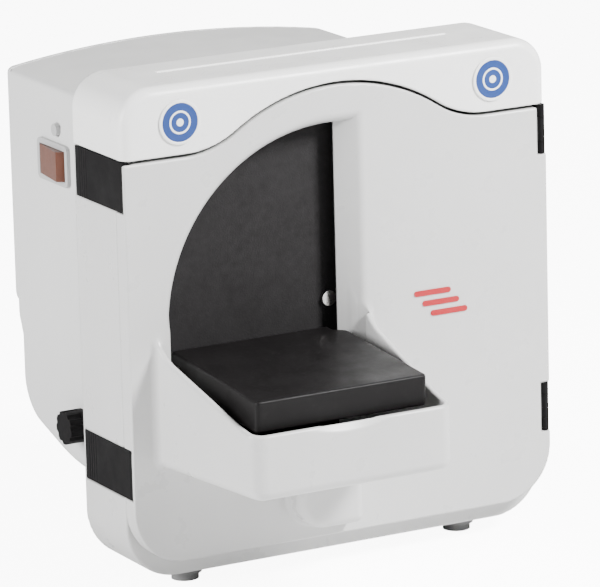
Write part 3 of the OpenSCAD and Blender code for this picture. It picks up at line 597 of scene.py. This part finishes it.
def moulded(name, colour, rough, grain=0.00002, dust=(0.93, 0.9, 0.84)):
    """Moulded or painted plastic: a fine orange peel, slight mottling, and on faces that point up a tenth of
    the dust colour, which is plaster dust where it is the cream default and painted top light where it is a
    lighter copy of the plastic's own colour.
    """
    paint = Paint(name)
    broad = paint.noise(9, 4, 0.6)
    fine = paint.noise(130, 3, 0.6)
    base = paint.mix(paint.range(broad, 0, 1, 0.35, 0.68), shade(colour, 0.955), colour)
    base = paint.mix(paint.range(fine, 0.0, 0.05, 0.62, 0.8), base, shade(colour, 0.8))
    normal = paint.add("ShaderNodeNewGeometry")
    split = paint.add("ShaderNodeSeparateXYZ")
    paint.link(normal.outputs["Normal"], split.inputs[0])
    # Faces that point up turn up to a tenth of the way to the dust colour: plaster dust with the cream
    # default, painted top light with a lighter copy of the own colour.
    upward_dust_and_top_light = paint.range(split.outputs["Z"], 0, 0.10, 0.75, 1.0)
    paint.drive("Base Color", paint.mix(upward_dust_and_top_light, base, dust))
    paint.drive("Roughness", paint.range(paint.noise(45, 4, 0.6), rough - 0.05, rough + 0.09, 0.3, 0.7))
    paint.set(IOR=1.48)
    paint.bump(paint.noise(520, 2, 0.5), grain)
    paint.bump(paint.noise(60, 2, 0.5), grain * 2.5)


def gritty(name, colour, light):
    """A bonded grinding disc: grit grains, each a little paler at its raised centre."""
    paint = Paint(name)
    cells = paint.add("ShaderNodeTexVoronoi", feature="F1")
    cells.inputs["Scale"].default_value = 900
    paint.link(paint.place, cells.inputs["Vector"])
    grain = paint.range(cells.outputs["Distance"], 1, 0, 0.0, 0.75)
    base = paint.mix(paint.range(paint.noise(38, 5, 0.65), 0, 1, 0.35, 0.7), colour, light)
    base = paint.mix(paint.range(grain, 0.0, 0.35, 0.6, 1), base, shade(light, 2.2))
    paint.drive("Base Color", base)
    paint.drive("Roughness", paint.range(paint.noise(220, 2, 0.5), 0.6, 0.9))
    paint.set(Specular_IOR_Level=0.25)
    paint.bump(grain, 0.00012, 0.8)
    paint.bump(paint.noise(320, 3, 0.6), 0.0001, 0.6)


def metal(name, colour, rough, stretch=None, scale=90.0, cast=0.0, tarnish=None):
    """Turned, brushed or cast metal. stretch drags the finish along one axis, and cast roughens it."""
    paint = Paint(name)
    lines = paint.noise(scale, 4, 0.65, stretch)
    base = paint.mix(paint.range(lines, 0, 1, 0.3, 0.7), shade(colour, 0.82), colour)
    stain = paint.range(paint.noise(24, 5, 0.7), 0, 0.5, 0.5, 0.75)
    paint.drive("Base Color", paint.mix(stain, base, tarnish or shade(colour, 0.6)))
    paint.drive("Roughness", paint.range(lines, rough - 0.07, rough + 0.12, 0.3, 0.7))
    paint.set(Metallic=1.0)
    paint.bump(lines, 0.00003, 0.5)
    if cast:
        paint.bump(paint.noise(420, 3, 0.6), cast)


def dark(name, colour, rough=0.5, scale=700.0, gloss=0.25, dust=0.01):
    """Black moulded plastic or rubber: a fine grain, faint scuffs and a trace of plaster dust."""
    paint = Paint(name)
    patches = paint.noise(55, 4, 0.6)
    base = paint.mix(paint.range(patches, 0, 1, 0.35, 0.7), shade(colour, 0.8), colour)
    scuff = paint.range(paint.noise(160, 5, 0.7, (1, 0.35, 1)), 0, dust, 0.56, 0.8)
    paint.drive("Base Color", paint.mix(scuff, base, (0.5, 0.48, 0.45)))
    paint.drive("Roughness", paint.range(patches, rough - 0.06, rough + 0.1, 0.3, 0.7))
    paint.set(Specular_IOR_Level=gloss)
    paint.bump(paint.noise(scale, 2, 0.6), 0.00004)


def tinted(name, colour, rough):
    """Clear tinted plastic, with a faint swirl in it."""
    paint = Paint(name)
    swirl = paint.noise(120, 3, 0.5)
    paint.drive("Base Color", paint.mix(swirl, colour, shade(colour, 0.55)))
    paint.drive("Roughness", paint.range(paint.noise(300, 2, 0.5), rough - 0.05, rough + 0.1))
    paint.set(Transmission_Weight=0.35, IOR=1.49, Coat_Weight=0.15, Coat_Roughness=0.1)
    paint.bump(paint.noise(240, 2, 0.5), 0.00002)


def circuit(name):
    """A printed board: green solder mask with tracks under it."""
    paint = Paint(name)
    tracks = paint.add("ShaderNodeTexBrick")
    tracks.inputs["Scale"].default_value = 260
    tracks.inputs["Mortar Size"].default_value = 0.03
    tracks.inputs["Color1"].default_value = (0.006, 0.09, 0.03, 1)
    tracks.inputs["Color2"].default_value = (0.008, 0.11, 0.035, 1)
    tracks.inputs["Mortar"].default_value = (0.03, 0.2, 0.07, 1)
    paint.link(paint.place, tracks.inputs["Vector"])
    paint.drive("Base Color", tracks.outputs["Color"])
    paint.drive("Roughness", paint.range(paint.noise(200, 3, 0.5), 0.25, 0.45))
    paint.bump(tracks.outputs["Fac"], 0.00005)


BRUSHED_UP, TURNED = (1, 1, 18), (1, 14, 1)
# The door and frame white is darker and the visor white lighter than the one white plastic they share: partly
# the parts' own tones, partly painted shade on the door and frame and painted light from above on the visor.
moulded("white_shell", (0.595, 0.593, 0.588), 0.30)
moulded("visor_white_and_top_light", (0.93, 0.928, 0.918), 0.30)
moulded("grey_shell", (0.66, 0.66, 0.656), 0.38)
# The blue and the red get a lighter copy of their own colour on faces that point up: painted top light.
moulded("badge_blue", (0.012, 0.045, 0.20), 0.34, 0.00001, (0.03, 0.08, 0.28))
moulded("mark_red", (0.42, 0.006, 0.014), 0.4, 0.00001, (0.45, 0.03, 0.04))
dark("black_plastic", (0.0035, 0.003, 0.0034), 0.5, 600, 0.12, 0.003)
dark("table_black", (0.006, 0.0053, 0.0055), 0.46, 900, 0.16, 0.006)
gritty("abrasive", (0.0086, 0.0077, 0.0081), (0.0122, 0.0112, 0.0118))
metal("plate_alu", (0.66, 0.66, 0.65), 0.36, BRUSHED_UP, 60, tarnish=(0.56, 0.56, 0.55))
metal("motor_alu", (0.55, 0.56, 0.56), 0.48, cast=0.00006)
metal("steel", (0.58, 0.57, 0.55), 0.26, TURNED, 120)
metal("iron", (0.24, 0.23, 0.22), 0.5, cast=0.00005, tarnish=(0.12, 0.07, 0.04))
metal("brass", (0.72, 0.52, 0.22), 0.28, (1, 12, 1), 110, tarnish=(0.34, 0.22, 0.08))
# The grey rubber gets a lighter grey on faces that point up: painted top light.
moulded("rubber_grey", (0.20, 0.20, 0.20), 0.6, 0.00004, (0.45, 0.45, 0.44))
dark("rubber_black", (0.008, 0.008, 0.008), 0.6)
tinted("amber", (0.20, 0.052, 0.018), 0.3)
tinted("hose_blue", (0.05, 0.22, 0.55), 0.28)
moulded("drain_grey", (0.42, 0.42, 0.42), 0.40, 0.00003)
circuit("board_green")

# ---------------------------------------------------------------- the model
MOULDING_LOW = Vector((-HALF_W, BASIN[0].y, DOOR_LOW))
SHADE_STRIP_BOX = (Vector((-SHADE_STRIP_END, 3, CROWN_Z - CROWN_RISE)), Vector((SHADE_STRIP_END, DOOR_T, CROWN_Z + SEAM)))

# piece, field, its box, grid step in millimetres, body, slot, material, CAD nodes that it stands for
CASINGS = [
    ("front_frame_shell", front_frame, FRAME, 1.9, "root", "white_shell", "white_shell", ["front_frame"]),
    ("top_visor_shell", top_visor, VISOR, 1.5, "root", "white_shell", "visor_white_and_top_light", ["top_visor"]),
    ("door_moulding", door_moulding, (MOULDING_LOW, DOOR[1]), 1.35, "door", "white_shell", "white_shell",
     ["door_panel", "drip_basin", "drain_boss"]),
    ("seam_shade_strip", seam_shade_strip, SHADE_STRIP_BOX, 0.55, "root", "rubber_grey", "rubber_grey", []),
    ("rear_housing_shell", rear_housing, REAR, 2.0, "root", "grey_shell", "grey_shell", ["rear_housing"]),
    ("rear_panel_shell", rear_panel, PANEL, 1.7, "root", "grey_shell", "grey_shell", ["rear_panel"]),
    ("table_top", work_table, mm_box("work_table"), 1.3, "table", "table_black", "table_black",
     ["work_table"]),
]


def finish_piece(piece, body, material):
    piece.data.materials.append(MATERIALS[material])
    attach(piece, body)


for name, field, (lo, hi), step, body, slot, material, nodes in CASINGS:
    casing = mesh_of(name, field, lo, hi, step)
    finish_piece(casing, body, material)
    if nodes:
        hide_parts(*nodes)


def lathe(name, centre, profile, turns=72):
    """A piece turned round the front-to-back axis through centre, from (radius, y) points in millimetres."""
    bm = bmesh.new()
    loops = []
    for k in range(turns):
        a = 2 * math.pi * k / turns
        loop = []
        for r, y in profile:
            x, z = centre[0] + r * math.cos(a), centre[1] + r * math.sin(a)
            loop.append(bm.verts.new((x * MM, y * MM + FRONT_Y, z * MM)))
        loops.append(loop)
    for k, loop in enumerate(loops):
        following = loops[(k + 1) % turns]
        for i in range(len(profile)):
            j = (i + 1) % len(profile)
            bm.faces.new((loop[i], loop[j], following[j], following[i])).smooth = True
    bmesh.ops.remove_doubles(bm, verts=bm.verts, dist=0.001 * MM)
    bmesh.ops.recalc_face_normals(bm, faces=bm.faces)
    mesh = bpy.data.meshes.new(name)
    bm.to_mesh(mesh)
    bm.free()
    piece = bpy.data.objects.new(name, mesh)
    bpy.context.scene.collection.objects.link(piece)
    return piece


def domed(radius, half_width, front, back, start=180):
    """Section of a flat ring with a domed front face, or of a button when radius is 0 and start is 90."""
    dome = [math.radians(start * (1 - k / 9)) for k in range(10)]
    rise = min(half_width, back - front) * 0.8
    top = [(radius + half_width * math.cos(a), front + rise - rise * math.sin(a)) for a in dome]
    return top + [(radius + half_width, back), (max(radius - half_width, 0), back)]


def badge_rings():
    """A pale rim round each badge, and a small ring and a button on it."""
    lo, hi = BADGES
    r = (hi.z - lo.z) / 2
    rings = (("rim", r + 0.9, 1.1, 180), ("ring", 0.55 * r, 0.8, 180), ("dot", 0, 0.24 * r, 90))
    for side, x in (("left", lo.x + r), ("right", hi.x - r)):
        for kind, radius, half_width, start in rings:
            profile = domed(radius, half_width, lo.y - 0.2, lo.y + 0.35, start)
            piece = lathe(f"badge_{kind}_{side}", (x, (lo.z + hi.z) / 2), profile)
            finish_piece(piece, "root", "visor_white_and_top_light")


badge_rings()

# CAD nodes that are shown as they are: a small bevel on hard edges, and their slot's material
BEVEL = {"table_pins": 0.2, "vent_grille": 0.4, "badges": 0.25, "door_mark": 0.15, "control_board": 0.2}
for row in frame["record"]["subparts"]:
    node = frame["nodes"][row["node"]]
    if node.hide_render:
        continue
    for face in node.data.polygons:
        face.use_smooth = True
    bevel = node.modifiers.new("edge", "BEVEL")
    bevel.width = BEVEL.get(row["node"], 0.5) * MM
    bevel.segments = 2
    bevel.limit_method = "ANGLE"
    bevel.angle_limit = math.radians(35)
    bevel.use_clamp_overlap = True
    bevel.harden_normals = True
    node.data.materials.clear()
    node.data.materials.append(MATERIALS[row["material_slot"]])


# ---------------------------------------------------------------- floor, light and camera
BACKDROP_GLOW = 9                       # for the camera alone, so that the paper shows nearly white
SKY_LIGHT = 0.2


def soft_light(name, place, aim_z, size, power):
    """A square area light that points at a height above the origin."""
    data = bpy.data.lights.new(name, "AREA")
    data.shape, data.size = "SQUARE", size
    data.energy = power
    lamp = bpy.data.objects.new(name, data)
    lamp.location = place
    aim = Vector((0, 0, aim_z)) - Vector(place)
    lamp.rotation_euler = aim.to_track_quat("-Z", "Y").to_euler()
    bpy.context.scene.collection.objects.link(lamp)
    return lamp


def floor():
    bm = bmesh.new()
    bmesh.ops.create_grid(bm, x_segments=8, y_segments=8, size=6)
    mesh = bpy.data.meshes.new("floor")
    bm.to_mesh(mesh)
    bm.free()
    ground = bpy.data.objects.new("floor", mesh)
    bpy.context.scene.collection.objects.link(ground)
    paint = Paint("floor_paper")
    paint.drive("Base Color", paint.mix(paint.noise(3, 3, 0.5), (0.88, 0.88, 0.88), (0.91, 0.91, 0.91)))
    paint.set(Roughness=0.8)
    seen = paint.add("ShaderNodeLightPath").outputs["Is Camera Ray"]
    paint.drive("Emission Strength", paint.range(seen, 0, BACKDROP_GLOW))
    paint.set(Emission_Color=(1, 1, 1, 1))
    mesh.materials.append(paint.material)
    return ground


def studio():
    """A white sky: soft light on the model, and nearly white to the camera, as the floor is."""
    world = bpy.data.worlds.new("studio")
    world.use_nodes = True
    tree = world.node_tree
    sky = tree.nodes["Background"]
    sky.inputs["Color"].default_value = (1, 1, 1, 1)
    seen = tree.nodes.new("ShaderNodeLightPath").outputs["Is Camera Ray"]
    strength = tree.nodes.new("ShaderNodeMapRange")
    strength.inputs["To Min"].default_value = SKY_LIGHT
    strength.inputs["To Max"].default_value = BACKDROP_GLOW
    tree.links.new(seen, strength.inputs["Value"])
    tree.links.new(strength.outputs[0], sky.inputs["Strength"])
    bpy.context.scene.world = world


def view():
    """The camera: a long lens, from the left and a little above, rolled slightly."""
    azimuth, elevation, roll = math.radians(-28.37), math.radians(14.02), math.radians(-1.49)
    distance, target = 3.3448, Vector((-0.03079, FRONT_Y, 0.18452))
    flat = math.cos(elevation)
    away = Vector((math.sin(azimuth) * flat, -math.cos(azimuth) * flat, math.sin(elevation)))
    level = Vector((math.cos(azimuth), math.sin(azimuth), 0))
    upright = away.cross(level)
    right = level * math.cos(roll) + upright * math.sin(roll)
    up = upright * math.cos(roll) - level * math.sin(roll)
    lens = bpy.data.cameras.new("camera")
    lens.sensor_fit, lens.sensor_width, lens.lens = "HORIZONTAL", 36, 317.65
    lens.clip_start, lens.clip_end = 0.05, 50
    camera = bpy.data.objects.new("camera", lens)
    turn = Matrix((right, up, away)).transposed().to_4x4()
    camera.matrix_world = Matrix.Translation(target + away * distance) @ turn
    bpy.context.scene.collection.objects.link(camera)
    bpy.context.scene.camera = camera


key = soft_light("key", (0.75, -0.95, 1.12), 0.14, 0.4, 68)
fill = soft_light("fill", (-2.2, -0.05, 0.85), 0.15, 1.2, 95)
floor()
studio()
view()
